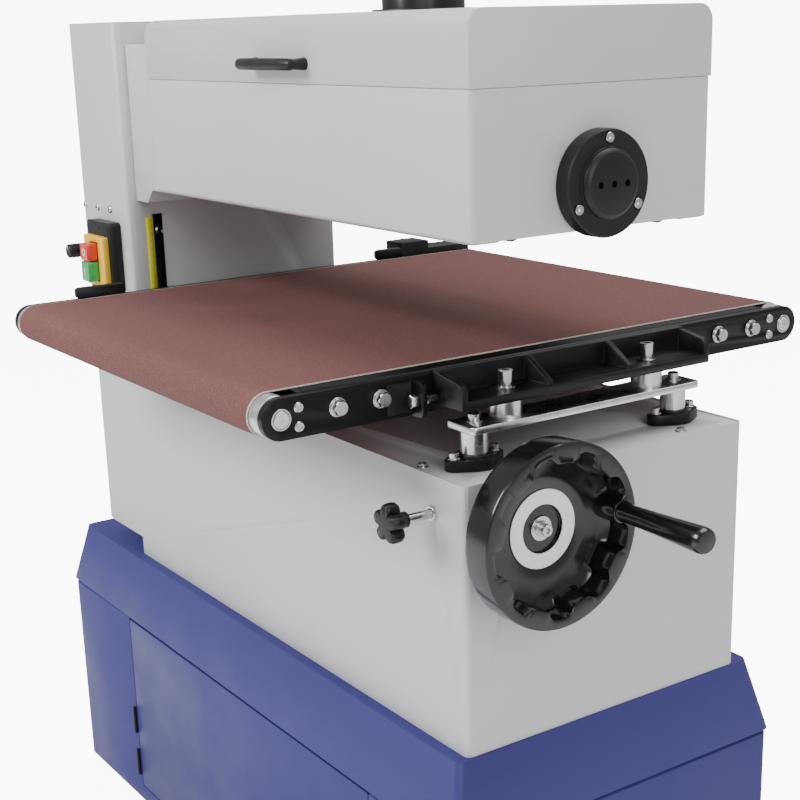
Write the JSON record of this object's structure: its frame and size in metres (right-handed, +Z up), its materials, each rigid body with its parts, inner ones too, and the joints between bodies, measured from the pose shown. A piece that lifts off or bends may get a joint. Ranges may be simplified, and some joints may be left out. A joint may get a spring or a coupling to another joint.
{
  "type": "open-end drum sander",
  "caption": "Floor-standing open-end drum sander: cabinet, column and overhanging head above a powered conveyor table that a handwheel raises on posts.",
  "frame": {"origin": "on the floor, under the middle of the outer box", "axes": "+X out of the open end, +Y from the operator side to the outfeed side, +Z up"},
  "size_m": [1.232, 0.775, 1.25],
  "materials": {
    "grey_paint": "satin light grey powder coat",
    "blue_paint": "satin blue powder coat",
    "black_paint": "satin black paint on steel and castings",
    "black_gloss": "glossy black thermoset",
    "black_plastic": "matt black plastic",
    "steel": "zinc-plated and turned steel",
    "aluminium": "turned aluminium",
    "abrasive": "maroon coated abrasive cloth",
    "rubber": "matt black rubber",
    "yellow_plastic": "yellow plastic",
    "red_plastic": "red plastic",
    "green_plastic": "green plastic"
  },
  "bodies": {
    "frame": {"cabinet_shell": "blue_paint", "base_housing": "grey_paint", "base_lid": "grey_paint", "column": "grey_paint", "height_scale": "yellow_plastic", "head_housing": "grey_paint", "drum_bearing_open_end": "steel", "drum_bearing_column": "steel", "bearing_cover": "black_plastic", "drum_motor": "black_paint", "drive_belt": "rubber", "switch_box": "black_plastic", "switch_plate": "yellow_plastic", "flange_bearing_open_end_infeed": "black_paint", "flange_bearing_open_end_outfeed": "black_paint", "flange_bearing_column_infeed": "black_paint", "flange_bearing_column_outfeed": "black_paint", "lift_bearing_frame": "black_paint", "lift_chain": "steel"},
    "door": {"cabinet_door": "blue_paint"},
    "latch": {"door_latch": "black_plastic"},
    "cover": {"drum_cover": "grey_paint", "dust_port": "black_plastic"},
    "drum": {"sanding_drum": "aluminium", "drum_shaft": "steel", "drum_pulley": "aluminium"},
    "motor_rotor": {"motor_pulley": "aluminium"},
    "pressure_infeed": {"pressure_roller_infeed": "rubber"},
    "pressure_outfeed": {"pressure_roller_outfeed": "rubber"},
    "stop": {"stop_button": "red_plastic"},
    "start": {"start_button": "green_plastic"},
    "speed": {"speed_knob": "black_plastic"},
    "table": {"side_rail_open_end": "black_paint", "side_rail_column": "black_paint", "table_bed": "black_paint", "conveyor_belt": "abrasive", "side_guide_infeed": "black_plastic", "side_guide_outfeed": "black_plastic", "conveyor_gearmotor": "black_paint", "bracket_open_end": "black_paint", "bracket_column": "black_paint", "height_pointer": "steel", "tie_bar_open_end": "steel", "tie_bar_column": "steel", "post_open_end_infeed": "steel", "post_open_end_outfeed": "steel", "post_column_infeed": "steel", "post_column_outfeed": "steel", "lift_yoke": "black_paint"},
    "infeed_roll": {"infeed_roller": "aluminium"},
    "drive_roll": {"drive_roller": "aluminium"},
    "tension": {"tension_screw": "steel"},
    "wheel": {"handwheel": "black_gloss", "handwheel_shaft": "steel"},
    "grip": {"handwheel_grip": "black_gloss"},
    "jack": {"jack_shaft": "steel"},
    "screw": {"lift_screw": "steel"},
    "lock": {"lock_knob": "black_plastic"}
  },
  "joints": [
    {"name": "handwheel_turn", "type": "hinge", "parent": "frame", "child": "wheel", "pos_m": [0.48, -0.132, 0.681], "axis": [1, 0, 0], "range_deg": [-900, 10800]},
    {"name": "table_lift", "type": "slide", "parent": "frame", "child": "table", "axis": [0, 0, 1], "range_m": [-0.0101, 0.1201]},
    {"name": "jack_turn", "type": "hinge", "parent": "frame", "child": "jack", "pos_m": [0.22, 0, 0.468], "axis": [1, 0, 0], "range_deg": [-901, 10801]},
    {"name": "screw_turn", "type": "hinge", "parent": "frame", "child": "screw", "pos_m": [0.02, 0, 0.5], "axis": [0, 0, 1], "range_deg": [-901, 10801]},
    {"name": "grip_spin", "type": "hinge", "parent": "wheel", "child": "grip", "pos_m": [0.555, -0.0517, 0.692], "axis": [1, 0, 0], "continuous": true},
    {"name": "lock_turn", "type": "hinge", "parent": "frame", "child": "lock", "pos_m": [0.363, -0.25, 0.688], "axis": [0, 1, 0], "range_deg": [-360, 0]},
    {"name": "drum_spin", "type": "hinge", "parent": "frame", "child": "drum", "pos_m": [0.06, -0.034, 1.026], "axis": [1, 0, 0], "continuous": true},
    {"name": "motor_spin", "type": "hinge", "parent": "frame", "child": "motor_rotor", "pos_m": [-0.498, -0.034, 0.83], "axis": [1, 0, 0], "continuous": true},
    {"name": "pressure_infeed_spin", "type": "hinge", "parent": "frame", "child": "pressure_infeed", "pos_m": [0.06, -0.134, 0.988], "axis": [1, 0, 0], "continuous": true},
    {"name": "pressure_outfeed_spin", "type": "hinge", "parent": "frame", "child": "pressure_outfeed", "pos_m": [0.06, 0.066, 0.988], "axis": [1, 0, 0], "continuous": true},
    {"name": "drive_roller_spin", "type": "hinge", "parent": "table", "child": "drive_roll", "pos_m": [0.01, 0.3635, 0.812], "axis": [1, 0, 0], "continuous": true},
    {"name": "infeed_roller_spin", "type": "hinge", "parent": "table", "child": "infeed_roll", "pos_m": [0.01, -0.3635, 0.812], "axis": [1, 0, 0], "continuous": true},
    {"name": "tension_turn", "type": "hinge", "parent": "table", "child": "tension", "pos_m": [0.345, -0.2, 0.808], "axis": [0, 1, 0], "range_deg": [-360, 360]},
    {"name": "cover_open", "type": "hinge", "parent": "frame", "child": "cover", "pos_m": [0.01, 0.127, 1.12515], "axis": [-1, 0, 0], "range_deg": [0, 80]},
    {"name": "door_open", "type": "hinge", "parent": "frame", "child": "door", "pos_m": [-0.4, -0.238, 0.18325], "axis": [0, 0, -1], "range_deg": [0, 110]},
    {"name": "latch_turn", "type": "hinge", "parent": "door", "child": "latch", "pos_m": [0.23, -0.25, 0.18325], "axis": [0, 1, 0], "range_deg": [0, 90]},
    {"name": "stop_press", "type": "slide", "parent": "frame", "child": "stop", "axis": [0, 1, 0], "range_m": [0, 0.003], "stiffness_N_per_m": 300, "springref_m": -0.002},
    {"name": "start_press", "type": "slide", "parent": "frame", "child": "start", "axis": [0, 1, 0], "range_m": [0, 0.003], "stiffness_N_per_m": 300, "springref_m": -0.002},
    {"name": "speed_turn", "type": "hinge", "parent": "frame", "child": "speed", "pos_m": [-0.507, -0.22, 0.877], "axis": [0, 1, 0], "range_deg": [0, 280]}
  ],
  "couplings": [
    {"joint": "table_lift", "follows": "handwheel_turn", "m_per_rad": 0.00063662},
    {"joint": "jack_turn", "follows": "handwheel_turn", "ratio": 1},
    {"joint": "screw_turn", "follows": "handwheel_turn", "ratio": 1},
    {"joint": "motor_spin", "follows": "drum_spin", "ratio": 1.625},
    {"joint": "infeed_roller_spin", "follows": "drive_roller_spin", "ratio": 1}
  ]
}
